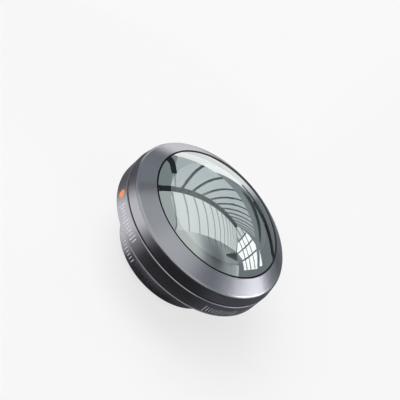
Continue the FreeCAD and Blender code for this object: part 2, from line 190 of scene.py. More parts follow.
def grain(tree, size_mm):
    """Noise from 0 to 1 whose grains are size_mm wide, on Object coordinates."""
    place = add_node(tree, "ShaderNodeTexCoord").outputs["Object"]
    noise = add_node(tree, "ShaderNodeTexNoise", {"Vector": place, "Scale": 1 / (size_mm * MM)})
    return noise.outputs["Fac"]


def tinted(tree, source, colour, share):
    """The colour, lightened and darkened by a share as the source goes from 0 to 1."""
    ramp = add_node(tree, "ShaderNodeValToRGB", {"Fac": source})
    base = linear(colour)
    for element, factor in zip(ramp.color_ramp.elements, (1 - share, 1 + share)):
        element.color = (*(min(c * factor, 1.0) for c in base[:3]), 1.0)
    return ramp.outputs["Color"]


def from_axis(tree):
    """Distance from the axis of the lens, and the height, on Object coordinates."""
    place = add_node(tree, "ShaderNodeTexCoord").outputs["Object"]
    across = add_node(tree, "ShaderNodeVectorMath", {0: place, 1: (1, 1, 0)}, operation="MULTIPLY")
    radius = add_node(tree, "ShaderNodeVectorMath", {0: across.outputs["Vector"]}, operation="LENGTH")
    height = add_node(tree, "ShaderNodeSeparateXYZ", {"Vector": place})
    return radius.outputs["Value"], height.outputs["Z"]


def painted_seam_shade(tree):
    """1 down in the seam's groove, which is painted black as shade, and 0 elsewhere."""
    radius, height = from_axis(tree)
    deep = add_node(tree, "ShaderNodeMath", {0: radius, 1: WALL_RADIUS - SEAM_LIP}, operation="LESS_THAN")
    level = add_node(
        tree, "ShaderNodeMath", {0: height, 1: SEAM_HEIGHT, 2: SEAM_REACH}, operation="COMPARE")
    return add_node(tree, "ShaderNodeMath", {0: deep.outputs["Value"], 1: level.outputs["Value"]},
                    operation="MULTIPLY").outputs["Value"]


def inner_lip(tree):
    """1 on the bezel's bevelled lip, which is painted black so that it shows no reflection, and 0
    elsewhere.
    """
    radius, height = from_axis(tree)
    inside = add_node(tree, "ShaderNodeMath", {0: radius, 1: LIP_EDGE}, operation="LESS_THAN")
    high = add_node(
        tree, "ShaderNodeMath", {0: height, 1: RIM_HEIGHT - LIP_DEPTH}, operation="GREATER_THAN")
    return add_node(tree, "ShaderNodeMath", {0: inside.outputs["Value"], 1: high.outputs["Value"]},
                    operation="MULTIPLY").outputs["Value"]


def anodised_aluminium(name, colour, roughness, grit_mm, grit_depth_mm):
    """Bead-blasted and dyed aluminium: a soft metal sheen over an even fine grit.

    The seam's groove is painted black as shade, and the bezel's inner lip is painted black so that it shows
    no reflection.
    """
    material, tree = new_material(name)
    # The real grit is about 0.05 mm; grit_mm is drawn coarser so that it shows in the render.
    grit = grain(tree, grit_mm)
    cloud = grain(tree, DYE_CLOUD)
    bump = add_node(tree, "ShaderNodeBump",
                    {"Height": grit, "Strength": 0.5, "Distance": grit_depth_mm * MM})
    satin = add_node(tree, "ShaderNodeMapRange", {
        "Value": grit, "To Min": roughness * (1 - SATIN_SPREAD), "To Max": roughness * (1 + SATIN_SPREAD)})
    metal = add_node(tree, "ShaderNodeBsdfPrincipled", {
        "Base Color": tinted(tree, cloud, colour, share=0.05),
        "Metallic": 1.0,
        "Roughness": satin.outputs["Result"],
        "Normal": bump.outputs["Normal"]})
    black = add_node(tree, "ShaderNodeBsdfPrincipled", {
        "Base Color": tinted(tree, cloud, "#1D1E20", share=0.05),
        "Roughness": 0.6})
    # The seam's groove takes the black as painted shade, and the inner lip takes it so that it shows no
    # reflection.
    dark = add_node(tree, "ShaderNodeMath", {0: painted_seam_shade(tree), 1: inner_lip(tree)}, operation="MAXIMUM")
    both = add_node(tree, "ShaderNodeMixShader", {
        "Fac": dark.outputs["Value"], 1: metal.outputs["BSDF"], 2: black.outputs["BSDF"]})
    add_node(tree, "ShaderNodeOutputMaterial", {"Surface": both.outputs["Shader"]})
    return material


def clear_glass(name, tint, mirror, ior):
    """Polished optical glass with a thin coating: clear, with a faint tinted mirror."""
    material, tree = new_material(name)
    glass = add_node(tree, "ShaderNodeBsdfPrincipled", {
        "Base Color": tinted(tree, grain(tree, GLASS_SMUDGE), tint, share=0.02),
        "Metallic": mirror,
        "Roughness": 0.0,
        "IOR": ior,
        "Transmission Weight": 1.0})
    add_node(tree, "ShaderNodeOutputMaterial", {"Surface": glass.outputs["BSDF"]})
    return material


def dome_and_shoulder(tree, place):
    """Two masks of the front glass: its dome, and the shoulder, which is all behind it but the hollow."""
    from_centre = add_node(tree, "ShaderNodeVectorMath", {0: place, 1: (0, 0, DOME_APEX - DOME_RADIUS)},
                           operation="DISTANCE")
    dome = add_node(tree, "ShaderNodeMath", {0: from_centre.outputs["Value"], 1: DOME_RADIUS - DOME_SKIN},
                    operation="GREATER_THAN")
    behind = add_node(tree, "ShaderNodeMath", {0: 1.0, 1: dome.outputs["Value"]}, operation="SUBTRACT")
    radius, _ = from_axis(tree)
    outside = add_node(tree, "ShaderNodeMath", {0: radius, 1: HOLLOW_EDGE}, operation="GREATER_THAN")
    shoulder = add_node(tree, "ShaderNodeMath", {0: behind.outputs["Value"], 1: outside.outputs["Value"]},
                        operation="MULTIPLY")
    return dome.outputs["Value"], shoulder.outputs["Value"]


def painted_hollow_veil(tree, place):
    """The hollow's colour, a painted reflection that goes from dim to bright across the lens."""
    sideways = add_node(tree, "ShaderNodeSeparateXYZ", {"Vector": place})
    veil_side = add_node(tree, "ShaderNodeMapRange", {
        "Value": sideways.outputs["X"], "From Min": -HOLLOW_EDGE, "From Max": HOLLOW_EDGE})
    veil_colour = add_node(tree, "ShaderNodeMix", {
        "Factor": veil_side.outputs["Result"], "A": linear(PAINTED_VEIL_DIM), "B": linear(PAINTED_VEIL_BRIGHT)},
        data_type="RGBA")
    return veil_colour.outputs["Result"]


def front_glass(name, tint, mirror):
    """The front meniscus: a mirror-bright dome, a hollow behind it with a painted pale reflection, and a
    blackened shoulder.

    The hollow's pale colour is painted reflection, standing in for what coated surfaces behind one another
    send back, and the dome mirrors the studio over it.
    """
    material, tree = new_material(name)
    place = add_node(tree, "ShaderNodeTexCoord").outputs["Object"]
    smudge = grain(tree, GLASS_SMUDGE)
    dome, shoulder = dome_and_shoulder(tree, place)
    # The hollow's colour is painted reflection, brighter towards +X; the dome keeps the glass tint.
    colour = add_node(tree, "ShaderNodeMix", {
        "Factor": dome, "A": painted_hollow_veil(tree, place), "B": tinted(tree, smudge, tint, share=0.02)},
        data_type="RGBA")
    mirroring = add_node(
        tree, "ShaderNodeMapRange", {"Value": dome, "To Min": HOLLOW_MIRROR, "To Max": mirror})
    dullness = add_node(
        tree, "ShaderNodeMapRange", {"Value": dome, "To Min": HOLLOW_ROUGHNESS, "To Max": 0.0})
    coated = add_node(tree, "ShaderNodeBsdfPrincipled", {
        "Base Color": colour.outputs["Result"],
        "Metallic": mirroring.outputs["Result"],
        "Roughness": dullness.outputs["Result"],
        "IOR": 1.62,
        "Transmission Weight": dome})
    lacquer = add_node(tree, "ShaderNodeBsdfPrincipled", {
        "Base Color": tinted(tree, smudge, "#101214", share=0.1),
        "Roughness": 0.6})
    both = add_node(tree, "ShaderNodeMixShader", {
        "Fac": shoulder, 1: coated.outputs["BSDF"], 2: lacquer.outputs["BSDF"]})
    add_node(tree, "ShaderNodeOutputMaterial", {"Surface": both.outputs["Shader"]})
    return material


def dull_black(name, colour):
    """Moulded nitrile rubber or matt film: nearly black and dull, with a fine grain."""
    material, tree = new_material(name)
    mould = grain(tree, MOULD_GRAIN)
    bump = add_node(tree, "ShaderNodeBump", {"Height": mould, "Strength": 0.3, "Distance": 0.02 * MM})
    polymer = add_node(tree, "ShaderNodeBsdfPrincipled", {
        "Base Color": tinted(tree, mould, colour, share=0.1),
        "Roughness": 0.7,
        "Normal": bump.outputs["Normal"]})
    add_node(tree, "ShaderNodeOutputMaterial", {"Surface": polymer.outputs["BSDF"]})
    return material


def turned_metal(name, colour, roughness):
    """Lathe-turned bare metal: bright, with fine turning lines round the axis."""
    material, tree = new_material(name)
    place = add_node(tree, "ShaderNodeTexCoord").outputs["Object"]
    # A wave texture of scale 1 has a line every tau / 20.
    lines = add_node(tree, "ShaderNodeTexWave",
                     {"Vector": place, "Scale": math.tau / 20 / (TURNING_LINE * MM), "Distortion": 0.4},
                     wave_type="RINGS", rings_direction="Z").outputs["Fac"]
    bump = add_node(tree, "ShaderNodeBump", {"Height": lines, "Strength": 0.4, "Distance": 0.004 * MM})
    metal = add_node(tree, "ShaderNodeBsdfPrincipled", {
        "Base Color": tinted(tree, lines, colour, share=0.06),
        "Metallic": 1.0,
        "Roughness": roughness,
        "Normal": bump.outputs["Normal"]})
    add_node(tree, "ShaderNodeOutputMaterial", {"Surface": metal.outputs["BSDF"]})
    return material


def enamel(name, colour, roughness):
    """Stoved enamel or pad-print ink: full colour with a slight orange-peel gloss."""
    material, tree = new_material(name)
    peel = grain(tree, ENAMEL_PEEL)
    bump = add_node(tree, "ShaderNodeBump", {"Height": peel, "Strength": 0.2, "Distance": 0.01 * MM})
    coat = add_node(tree, "ShaderNodeBsdfPrincipled", {
        "Base Color": tinted(tree, peel, colour, share=0.05),
        "Roughness": roughness,
        "Normal": bump.outputs["Normal"]})
    add_node(tree, "ShaderNodeOutputMaterial", {"Surface": coat.outputs["BSDF"]})
    return material


def dress(material, *node_names):
    """Give CAD nodes the material in every slot that they have."""
    for node_name in node_names:
        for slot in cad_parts[node_name].material_slots:
            slot.material = material


# Modelling helpers

def deselect_all():
    """Leave nothing selected, because an operator acts on all that is."""
    if bpy.context.object is not None and bpy.context.object.mode != "OBJECT":
        bpy.ops.object.mode_set(mode="OBJECT")
    bpy.ops.object.select_all(action="DESELECT")


def apply_place(thing):
    """Move an object's place, turn and scale into its mesh."""
    deselect_all()
    thing.select_set(True)
    bpy.context.view_layer.objects.active = thing
    bpy.ops.object.transform_apply(location=True, rotation=True, scale=True)


def turned_copy(thing, name, degrees):
    """A copy with a mesh of its own, turned round the lens's axis, with the turn in its mesh."""
    twin = thing.copy()
    twin.data = thing.data.copy()
    twin.name = name
    bpy.context.scene.collection.objects.link(twin)
    twin.matrix_world = Matrix.Rotation(math.radians(degrees), 4, "Z")
    apply_place(twin)
    return twin


def join(pieces, name):
    """Several pieces as one, named."""
    deselect_all()
    for piece in pieces:
        piece.select_set(True)
    bpy.context.view_layer.objects.active = pieces[0]
    bpy.ops.object.join()
    pieces[0].name = name
    return pieces[0]


def model_tick(width, length, radius, proud, height):
    """One printed tick: a flat pad with rounded ends, half sunk in a round wall on the +X side."""
    deselect_all()
    bpy.ops.mesh.primitive_plane_add(size=1.0, location=(0, 0, 0))
    tick = bpy.context.object
    bpy.ops.object.mode_set(mode="EDIT")
    bpy.ops.transform.resize(value=(width, length, 1.0))
    bpy.ops.mesh.bevel(offset=width * TICK_ROUNDING, segments=TICK_ROUNDING_STEPS, affect="VERTICES")
    bpy.ops.mesh.extrude_region_move(TRANSFORM_OT_translate={"value": (0, 0, proud * 2)})
    bpy.ops.mesh.select_all(action="SELECT")
    bpy.ops.mesh.normals_make_consistent(inside=False)
    bpy.ops.object.mode_set(mode="OBJECT")
    # The pad's face looks outwards and its length runs along the axis of the lens.
    upright = Matrix(((0, 0, 1, 0), (1, 0, 0, 0), (0, 1, 0, 0), (0, 0, 0, 1)))
    tick.matrix_world = Matrix.Translation((radius - proud, 0, height)) @ upright
    apply_place(tick)
    return tick


def print_scale(name, marks, ink, radius, height, first, step, count, size=1.0):
    """A plain scale on a round wall, of count ticks from a first direction on, some of them long."""
    long_tick, short_tick = (model_tick(marks.tick_width, length * size, radius, marks.ink_height, height)
                             for length in (marks.tick_length, marks.short_tick_length))
    ticks = [turned_copy(short_tick if number % LONG_TICK_EVERY else long_tick, f"{name}_{number}",
                         first + step * number) for number in range(count)]
    for pattern in (long_tick, short_tick):
        bpy.data.objects.remove(pattern, do_unlink=True)
    piece = join(ticks, name)
    piece.data.materials.clear()
    piece.data.materials.append(ink)
    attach(piece, "root")


# Operators for the pieces

class LENS_OT_metal(bpy.types.Operator):
    """Finish the outer metal, the black inner metal and the small metal pieces"""
    bl_idname = "lens.metal"
    bl_label = "Metal pieces"

    def execute(self, context):
        finish = context.scene.lens_finish
        gunmetal = anodised_aluminium("anodised_aluminium_gunmetal", finish.metal_colour,
                                      finish.metal_roughness, grit_mm=0.14, grit_depth_mm=0.0004)
        dress(gunmetal, "front_bezel", "main_housing", "rear_barrel")
        black = anodised_aluminium("anodised_aluminium_black", finish.inner_colour,
                                   roughness=0.45, grit_mm=0.2, grit_depth_mm=0.006)
        dress(black, "bayonet_collar", "lens_cell", "second_retaining_ring", "rear_retaining_ring",
              "front_spacer", "rear_spacer", "aperture_stop")
        dress(turned_metal("brass_turned", "#C9A45C", roughness=0.3), "focus_shim")
        dress(turned_metal("stainless_steel_turned", "#B9BBBE", roughness=0.25), "collar_screws")
        return {"FINISHED"}


class LENS_OT_glass(bpy.types.Operator):
    """Finish the front glass and the glasses inside"""
    bl_idname = "lens.glass"
    bl_label = "Glasses"

    def execute(self, context):
        finish = context.scene.lens_finish
        dress(front_glass("optical_glass_mirror_coated", finish.glass_colour, finish.glass_mirror),
              "front_element")
        dress(clear_glass("optical_glass_clear", "#E9F0EE", mirror=0.04, ior=1.6), "second_element",
              "third_element", "doublet_front_element", "doublet_rear_element")
        return {"FINISHED"}


class LENS_OT_seals(bpy.types.Operator):
    """Finish the rubber seal, the gasket and the alignment dot"""
    bl_idname = "lens.seals"
    bl_label = "Seals and dot"

    def execute(self, context):
        finish = context.scene.lens_finish
        dress(dull_black("nitrile_rubber_moulded", "#17181A"), "front_seal")
        dress(dull_black("polyester_film_black", "#0E0F11"), "lip_gasket")
        dress(enamel("enamel_orange", finish.dot_colour, roughness=0.35), "alignment_dot")
        return {"FINISHED"}


class LENS_OT_housing_ticks(bpy.types.Operator):
    """Print plain scales on the housing wall"""
    bl_idname = "lens.housing_ticks"
    bl_label = "Housing ticks"

    def execute(self, context):
        marks = context.scene.lens_marks
        finish = context.scene.lens_finish
        pale = enamel("pad_print_ink_pale", finish.print_colour, roughness=0.5)
        dim = enamel("pad_print_ink_dim", finish.dim_print_colour, roughness=0.5)
        print_scale("housing_ticks", marks, pale, WALL_RADIUS, **BRIGHT_SCALE)
        print_scale("housing_ticks_dim", marks, dim, WALL_RADIUS, **DIM_SCALE)
        return {"FINISHED"}


class LENS_OT_barrel_ticks(bpy.types.Operator):
    """Print a plain scale on the rear barrel"""
    bl_idname = "lens.barrel_ticks"
    bl_label = "Barrel ticks"

    def execute(self, context):
        ink = enamel("pad_print_ink_barrel", context.scene.lens_finish.print_colour, roughness=0.5)
        print_scale("barrel_ticks", context.scene.lens_marks, ink, BARREL_RADIUS, **BARREL_SCALE)
        return {"FINISHED"}


# The stage

# The floor's width, and the share of its white that the camera is shown as it is
FLOOR_WIDTH = 6.0
FLOOR_GLOW = 0.75

# The air: its white, what metal and glass mirror of it, and how strongly it lights the lens
AIR_WHITE = "#F8F8F8"
AIR_MIRRORED = "#DDE0E2"
AIR_STRENGTH = 0.42

# The lamps: name, direction and height in degrees, strength, and width in degrees
LAMPS = (("key_lamp", -48, 50, 1.42, 50), ("fill_lamp", 12, 42, 1.15, 60))

# The camera: the width of its sensor in mm, and the nearest distance that it shows, in metres
CAMERA_SENSOR = 36.0
CAMERA_NEAREST = 0.01

# Light and dark rings lie on the floor, and only the metal and the glass mirror them. The pale ring
# close to the wall lights the housing's rear rounded edge, and dark cards on the camera's side turn the
# wall that faces it nearly black.
RING_HEIGHT = 0.1 * MM
RING_CORNERS = 96
# Levels on the camera's side, by the direction in which they lie, in degrees round from +X
CAMERA_SIDE_LEVELS = (
    (-43, "#626468"), (-30, "#7C7D80"), (-14, "#FAFAFB"), (12, "#FFFFFF"), (25, "#9C9DA0"),
    (38, "#3A3B3D"), (50, "#2B2B2D"), (88, "#2B2B2D"), (101, "#37383A"), (117, "#545558"),
    (155, "#57595D"))
# Each ring: name, inner and outer radius in mm, strength, and its levels from -180 degrees on
FLOOR_RINGS = (
    ("floor_ring_under", 10.0, 13.2, 1.9, ((-180, "#B4B4B6"), (170, "#B4B4B6"))),
    ("floor_ring_barrel", 13.2, 20.0, 1.1, (
        (-180, "#6C6F72"), (-90, "#F4F4F5"), (-3, "#F4F4F5"), (12, "#C8C8CA"), (25, "#4C4D50"),
        (44, "#29292B"), (88, "#29292B"), (120, "#55575A"), (160, "#6C6F72"))),
    ("floor_ring_edge", 20.0, 26.5, 1.1, (
        (-180, "#8A8A8C"), (-84, "#FFFFFF"), (-68, "#6A6A6C"), (-28, "#6A6A6C"), (-10, "#FFFFFF"),
        (12, "#FFFFFF"), (40, "#D8D8DA"), (110, "#D8D8DA"), (140, "#8A8A8C"))),
    ("floor_ring_wall", 26.5, 70.0, 1.2, (
        (-180, "#717679"), (-126, "#777C80"), (-121, "#7E8082"), (-88, "#7E8082"), (-74, "#626468"),
        *CAMERA_SIDE_LEVELS)),
    ("floor_ring_far", 70.0, 4000.0, 1.2, (
        (-180, "#717679"), (-131, "#777C80"), (-124, "#F2F3F3"), (-72, "#F2F3F3"), (-58, "#626468"),
        *CAMERA_SIDE_LEVELS)),
)

# The dark flag round the camera's side: its distance in metres, then direction and top in degrees
FLAG_DISTANCE = 0.32
FLAG = ((32, 2), (44, 20), (60, 26), (112, 26), (140, 15), (165, 3), (200, 1), (236, 1))

# The glow panel below the window: its distance in metres, then direction, foot and top in degrees
GLOW_DISTANCE = 1.2
GLOW_PANEL = ((157, 33, 43), (167, 25, 36), (180, 16, 27), (190, 9, 18))
GLOW_STRENGTH = 6.8

# The canopy is a ribbed gabled diffuser that stands over the table, and the curved glass mirrors it
# whole. It runs from behind the lens to a gable end with a window. It is set by where it points to, how
# far it climbs and how far it leans over, in degrees.
CANOPY_AZIMUTH = 184.8
CANOPY_RISE = 29.2
CANOPY_LEAN = -40.5
CANOPY_START = -0.5
CANOPY_END = 1.72
# Its cross-section, as spots (across, up) from the lens, in metres
RIDGE = (0.0, 1.0)
HIGH_EAVE = (0.462, 0.513)
LOW_EAVE = (-0.473, 0.426)
HIGH_FOOT = (0.7, -0.4)
LOW_FOOT = (LOW_EAVE[0], -0.7)

# The ribs: their pitch and count, how much nearer than the cloth they hang, as a share, and their widths
RIB_PITCH = 0.14
RIB_COUNT = 12
RIB_NEARER = 0.015
HIGH_RIB_WIDTHS = (0.022, 0.011)
LOW_RIB_WIDTHS = (0.034, 0.017)
# From this rib on, the high ribs run on down the wall, by this share of it
RIB_TAIL_FIRST = 4
RIB_TAIL = 0.1
RIB_TAIL_WIDTHS = (0.016, 0.01)
# The low slope's first rib slants from one place along the canopy to another. It is pale and thin at the
# ridge, and dark and wide from a share of its length on.
SLANTED_RIB_TOP = 0.2
SLANTED_RIB_EAVE = 0.09
SLANTED_RIB_DARK_FROM = 0.5
SLANTED_RIB_THIN_WIDTHS = (0.012, 0.016)
SLANTED_RIB_DARK_WIDTHS = (0.045, 0.03)
# The ridge beam hangs nearer by a share, and its near end stands off to one side
BEAM_NEARER = 0.08
BEAM_NEAR_END = (0.03, RIDGE[1])
BEAM_WIDTHS = (0.085, 0.14)

# Places along the canopy at which the cloth changes, on the high slope and on the two walls
GREY_CLOTH_START = -0.1
LOW_WALL_CHANGE = 0.36
HIGH_WALL_PALE_END = 0.3
HIGH_WALL_GREY_START = 0.5
# The high wall's soft dark patch: its middle (across, along, up), and how far its dark and its edge reach
SMUDGE_MIDDLE = (0.525, 0.68, 0.3)
SMUDGE_CORE = 0.05
SMUDGE_REACH = 0.3
# Pale panes low on the high wall: their places along it, tops as shares of the wall, and colours
PANES = ((1.0, 0.36, "#BAC2C4"), (1.24, 0.34, "#C6CED0"), (1.49, 0.32, "#E6EBEB"))
PANE_FOOT = 0.62
PANE_WIDTHS = (0.21, 0.21)
# The bars across the panes, as shares of the wall
PANE_BARS = (0.38, 0.47)
PANE_BAR_WIDTHS = (0.024, 0.024)
# Dark beams at the walls: their two ends (across, along, up), and their widths there
LOW_BEAM = ((-0.46, 1.3, 0.22), (-0.46, 0.41, 0.2), (0.02, 0.09))
LOW_POST = ((-0.45, 0.62, -0.04), (-0.45, 0.4, 0.14), (0.03, 0.08))
HIGH_WEDGE = ((0.49, 0.95, 0.33), (0.465, 1.66, 0.39), (0.03, 0.19))

# The gable's window, its greyer upper panes, and the small window below it
WINDOW = ((0.313, 0.069), (0.034, 0.019), (-0.214, -0.029), (-0.373, 0.349), (-0.325, 0.451),
          (-0.209, 0.692), (-0.022, 1.0), (0.438, 0.484), (0.313, 0.301))
GREY_PANES = ((-0.209, 0.66), (-0.209, 0.692), (-0.022, 1.0), (0.26, 0.684), (0.26, 0.66))
LOW_WINDOW = ((-0.327, -0.015), (-0.502, -0.048), (-0.733, 0.272), (-0.515, 0.287))
# The window's glazing bars, as pairs of ends
GLAZING = (((-0.12, -0.01), (-0.12, 0.84)), ((0.05, 0.02), (0.05, 0.93)), ((0.2, 0.05), (0.2, 0.75)),
           ((-0.33, 0.26), (0.31, 0.26)), ((-0.32, 0.46), (0.43, 0.46)), ((-0.21, 0.66), (0.26, 0.66)))
GLAZING_WIDTHS = (0.03, 0.03)
# Where the windows, the grey panes and the bars stand along the canopy, each nearer than the one before
WINDOW_PLACE = CANOPY_END - 0.01
GREY_PANES_PLACE = CANOPY_END - 0.015
GLAZING_PLACE = CANOPY_END - 0.02


def emitter(name, colour, strength=1.0):
    """A stage surface that shows one plain light level."""
    material, tree = new_material(name)
    glow = add_node(tree, "ShaderNodeEmission", {"Color": linear(colour), "Strength": strength})
    add_node(tree, "ShaderNodeOutputMaterial", {"Surface": glow.outputs["Emission"]})
    return material


def for_reflections_only(thing):
    """Keep a stage piece out of the picture, the lighting and the shadows."""
    thing.visible_camera = False
    thing.visible_diffuse = False
    thing.visible_shadow = False
    thing.visible_transmission = False


def stage_sheet(name, corners, material, place):
    """A flat sheet of the stage through its corners."""
    mesh = bpy.data.meshes.new(name)
    mesh.from_pydata([Vector(c) for c in corners], [], [tuple(range(len(corners)))])
    mesh.materials.append(material)
    sheet = bpy.data.objects.new(name, mesh)
    bpy.context.scene.collection.objects.link(sheet)
    for_reflections_only(sheet)
    sheet.matrix_world = place


def around(degrees, climb, distance):
    """A spot at a distance round the lens, in a direction from +X, that climbs by an angle."""
    turn = math.radians(degrees)
    return distance * Vector((math.cos(turn), math.sin(turn), math.tan(math.radians(climb))))


def standing_panel(name, edges, material):
    """A panel that stands round the lens, through edges that each run from foot to top."""
    for number, ((foot, top), (next_foot, next_top)) in enumerate(zip(edges, edges[1:])):
        stage_sheet(f"{name}_{number}", (foot, top, next_top, next_foot), material,
                    Matrix.Translation((0, 0, RIM_HEIGHT)))


def canopy_frame():
    """Matrix whose X goes across the canopy, Y along it to the gable and Z up to the ridge."""
    turn = math.radians(CANOPY_AZIMUTH)
    rise = math.radians(CANOPY_RISE)
    along = Vector((math.cos(rise) * math.cos(turn), math.cos(rise) * math.sin(turn), math.sin(rise)))
    upright = (Vector((0, 0, 1)) - along * along.z).normalized()
    side = along.cross(upright)
    lean = math.radians(CANOPY_LEAN)
    ridge = upright * math.cos(lean) + side * math.sin(lean)
    across = side * math.cos(lean) - upright * math.sin(lean)
    turned = Matrix((across, along, ridge)).transposed().to_4x4()
    return Matrix.Translation((0, 0, RIM_HEIGHT)) @ turned


def section(spot, along, nearer=0.0):
    """A spot of the canopy's cross-section, at a place along it and a share nearer the lens."""
    return (spot[0] * (1 - nearer), along, spot[1] * (1 - nearer))


def on_high_wall(share):
    """The spot of the cross-section that lies this share of the way down the high wall."""
    return tuple(eave + (foot - eave) * share for eave, foot in zip(HIGH_EAVE, HIGH_FOOT))


def canopy_strip(name, upper, lower, start, end, material):
    """A strip of the canopy's skin between two spots of its cross-section, from start to end along it."""
    corners = (section(upper, start), section(upper, end), section(lower, end), section(lower, start))
    stage_sheet(name, corners, material, canopy_frame())


def canopy_bar(name, start, end, widths, material):
    """A bar of the canopy, drawn as a flat strip that faces the lens and may taper."""
    start = Vector(start)
    end = Vector(end)
    start_width, end_width = widths
    half = (end - start).cross(start + end).normalized() / 2
    corners = (start - half * start_width, start + half * start_width,
               end + half * end_width, end - half * end_width)
    stage_sheet(name, corners, material, canopy_frame())


class LENS_OT_stage(bpy.types.Operator):
    """Set the floor, the lamps, the canopy that the glass mirrors, and the camera"""
    bl_idname = "lens.stage"
    bl_label = "Stage"

    def execute(self, context):
        self.lay_floor(context)
        for ring in FLOOR_RINGS:
            self.lay_floor_ring(*ring)
        self.raise_flag()
        self.raise_glow_panel()
        self.light_world(context)
        self.hang_lamps()
        self.stretch_slopes()
        self.hang_ribs()
        self.stretch_walls()
        self.raise_gable()
        self.place_camera(context)
        context.scene.view_settings.view_transform = "Standard"
        return {"FINISHED"}

    def lay_floor(self, context):
        """A wide pale floor that keeps the lens's shadow."""
        deselect_all()
        bpy.ops.mesh.primitive_plane_add(size=FLOOR_WIDTH, location=(0, 0, 0))
        floor = bpy.context.object
        floor.name = "studio_floor"
        white = context.scene.lens_stage.floor_colour
        material, tree = new_material("seamless_paper_white")
        paper = add_node(tree, "ShaderNodeBsdfPrincipled", {
            "Base Color": tinted(tree, grain(tree, PAPER_FIBRE), white, share=0.005),
            "Roughness": 0.6})
        # Most of the white is shown as it is to the camera, so that the lens's shadow stays light.
        glow = add_node(tree, "ShaderNodeEmission", {"Color": linear(white)})
        rays = add_node(tree, "ShaderNodeLightPath")
        seen = add_node(tree, "ShaderNodeMath", {
            0: rays.outputs["Is Camera Ray"], 1: rays.outputs["Is Glossy Ray"]}, operation="MAXIMUM")
        seen = add_node(tree, "ShaderNodeMath", {
            0: seen.outputs["Value"], 1: rays.outputs["Is Transmission Ray"]}, operation="MAXIMUM")
        share = add_node(
            tree, "ShaderNodeMath", {0: seen.outputs["Value"], 1: FLOOR_GLOW}, operation="MULTIPLY")
        both = add_node(tree, "ShaderNodeMixShader", {
            "Fac": share.outputs["Value"], 1: paper.outputs["BSDF"], 2: glow.outputs["Emission"]})
        add_node(tree, "ShaderNodeOutputMaterial", {"Surface": both.outputs["Shader"]})
        floor.data.materials.append(material)

    def lay_floor_ring(self, name, inner_mm, outer_mm, strength, levels):
        """One flat ring of the floor, whose level changes with the direction."""
        deselect_all()
        bpy.ops.mesh.primitive_circle_add(
            vertices=RING_CORNERS, radius=inner_mm * MM, location=(0, 0, RING_HEIGHT))
        ring = bpy.context.object
        ring.name = name
        bpy.ops.object.mode_set(mode="EDIT")
        bpy.ops.mesh.extrude_edges_move()
        bpy.ops.transform.resize(value=(outer_mm / inner_mm, outer_mm / inner_mm, 1))
        bpy.ops.object.mode_set(mode="OBJECT")
        material, tree = new_material(name)
        place = add_node(tree, "ShaderNodeTexCoord").outputs["Object"]
        turn = add_node(tree, "ShaderNodeTexGradient", {"Vector": place}, gradient_type="RADIAL")
        ramp = add_node(tree, "ShaderNodeValToRGB", {"Fac": turn.outputs["Fac"]})
        steps = ramp.color_ramp.elements
        steps.remove(steps[1])
        for number, (degrees, colour) in enumerate(levels):
            step = steps[0] if number == 0 else steps.new((degrees + 180) / 360)
            step.color = linear(colour)
        glow = add_node(tree, "ShaderNodeEmission", {"Color": ramp.outputs["Color"], "Strength": strength})
        add_node(tree, "ShaderNodeOutputMaterial", {"Surface": glow.outputs["Emission"]})
        ring.data.materials.append(material)
        for_reflections_only(ring)

    def raise_flag(self):
        """The dark flag that stands round the camera's side and turns the metal's edges dark."""
        edges = []
        for degrees, top in FLAG:
            foot = around(degrees, 0, FLAG_DISTANCE) - Vector((0, 0, RIM_HEIGHT))
            edges.append((foot, around(degrees, top, FLAG_DISTANCE)))
        standing_panel("flag", edges, emitter("flag_velvet_black", "#38393C"))

    def raise_glow_panel(self):
        """The bright panel below the window, which whitens the sloping metal opposite it."""
        edges = [(around(degrees, foot, GLOW_DISTANCE), around(degrees, top, GLOW_DISTANCE))
                 for degrees, foot, top in GLOW_PANEL]
        standing_panel("glow_panel", edges, emitter("glow_panel_white", "#FFFFFF", GLOW_STRENGTH))

    def light_world(self, context):
        """Soft even air that is shown white, and that metal and glass mirror a little darker."""
        world = bpy.data.worlds.new("studio_air")
        context.scene.world = world
        world.use_nodes = True
        tree = world.node_tree
        tree.nodes.clear()
        rays = add_node(tree, "ShaderNodeLightPath")
        light = add_node(
            tree, "ShaderNodeBackground", {"Color": linear(AIR_WHITE), "Strength": AIR_STRENGTH})
        mirrored = add_node(tree, "ShaderNodeBackground", {"Color": linear(AIR_MIRRORED)})
        seen = add_node(tree, "ShaderNodeBackground", {"Color": linear(AIR_WHITE)})
        straight = add_node(tree, "ShaderNodeMath", {
            0: rays.outputs["Is Camera Ray"], 1: rays.outputs["Is Transmission Ray"]}, operation="MAXIMUM")
        plain_air = add_node(tree, "ShaderNodeMixShader", {
            "Fac": straight.outputs["Value"], 1: light.outputs["Background"],
            2: seen.outputs["Background"]})
        air = add_node(tree, "ShaderNodeMixShader", {
            "Fac": rays.outputs["Is Glossy Ray"], 1: plain_air.outputs["Shader"],
            2: mirrored.outputs["Background"]})
        add_node(tree, "ShaderNodeOutputWorld", {"Surface": air.outputs["Shader"]})

    def hang_lamps(self):
        """A wide soft key from the side, and a soft fill from nearer the camera."""
        for name, degrees, height, strength, softness in LAMPS:
            deselect_all()
            bpy.ops.object.light_add(type="SUN", location=(0, 0, 1))
            lamp = bpy.context.object
            lamp.name = name
            lamp.data.energy = strength
            lamp.data.angle = math.radians(softness)
            lamp.visible_glossy = False
            lamp.rotation_euler = (0, math.radians(90 - height), math.radians(degrees))

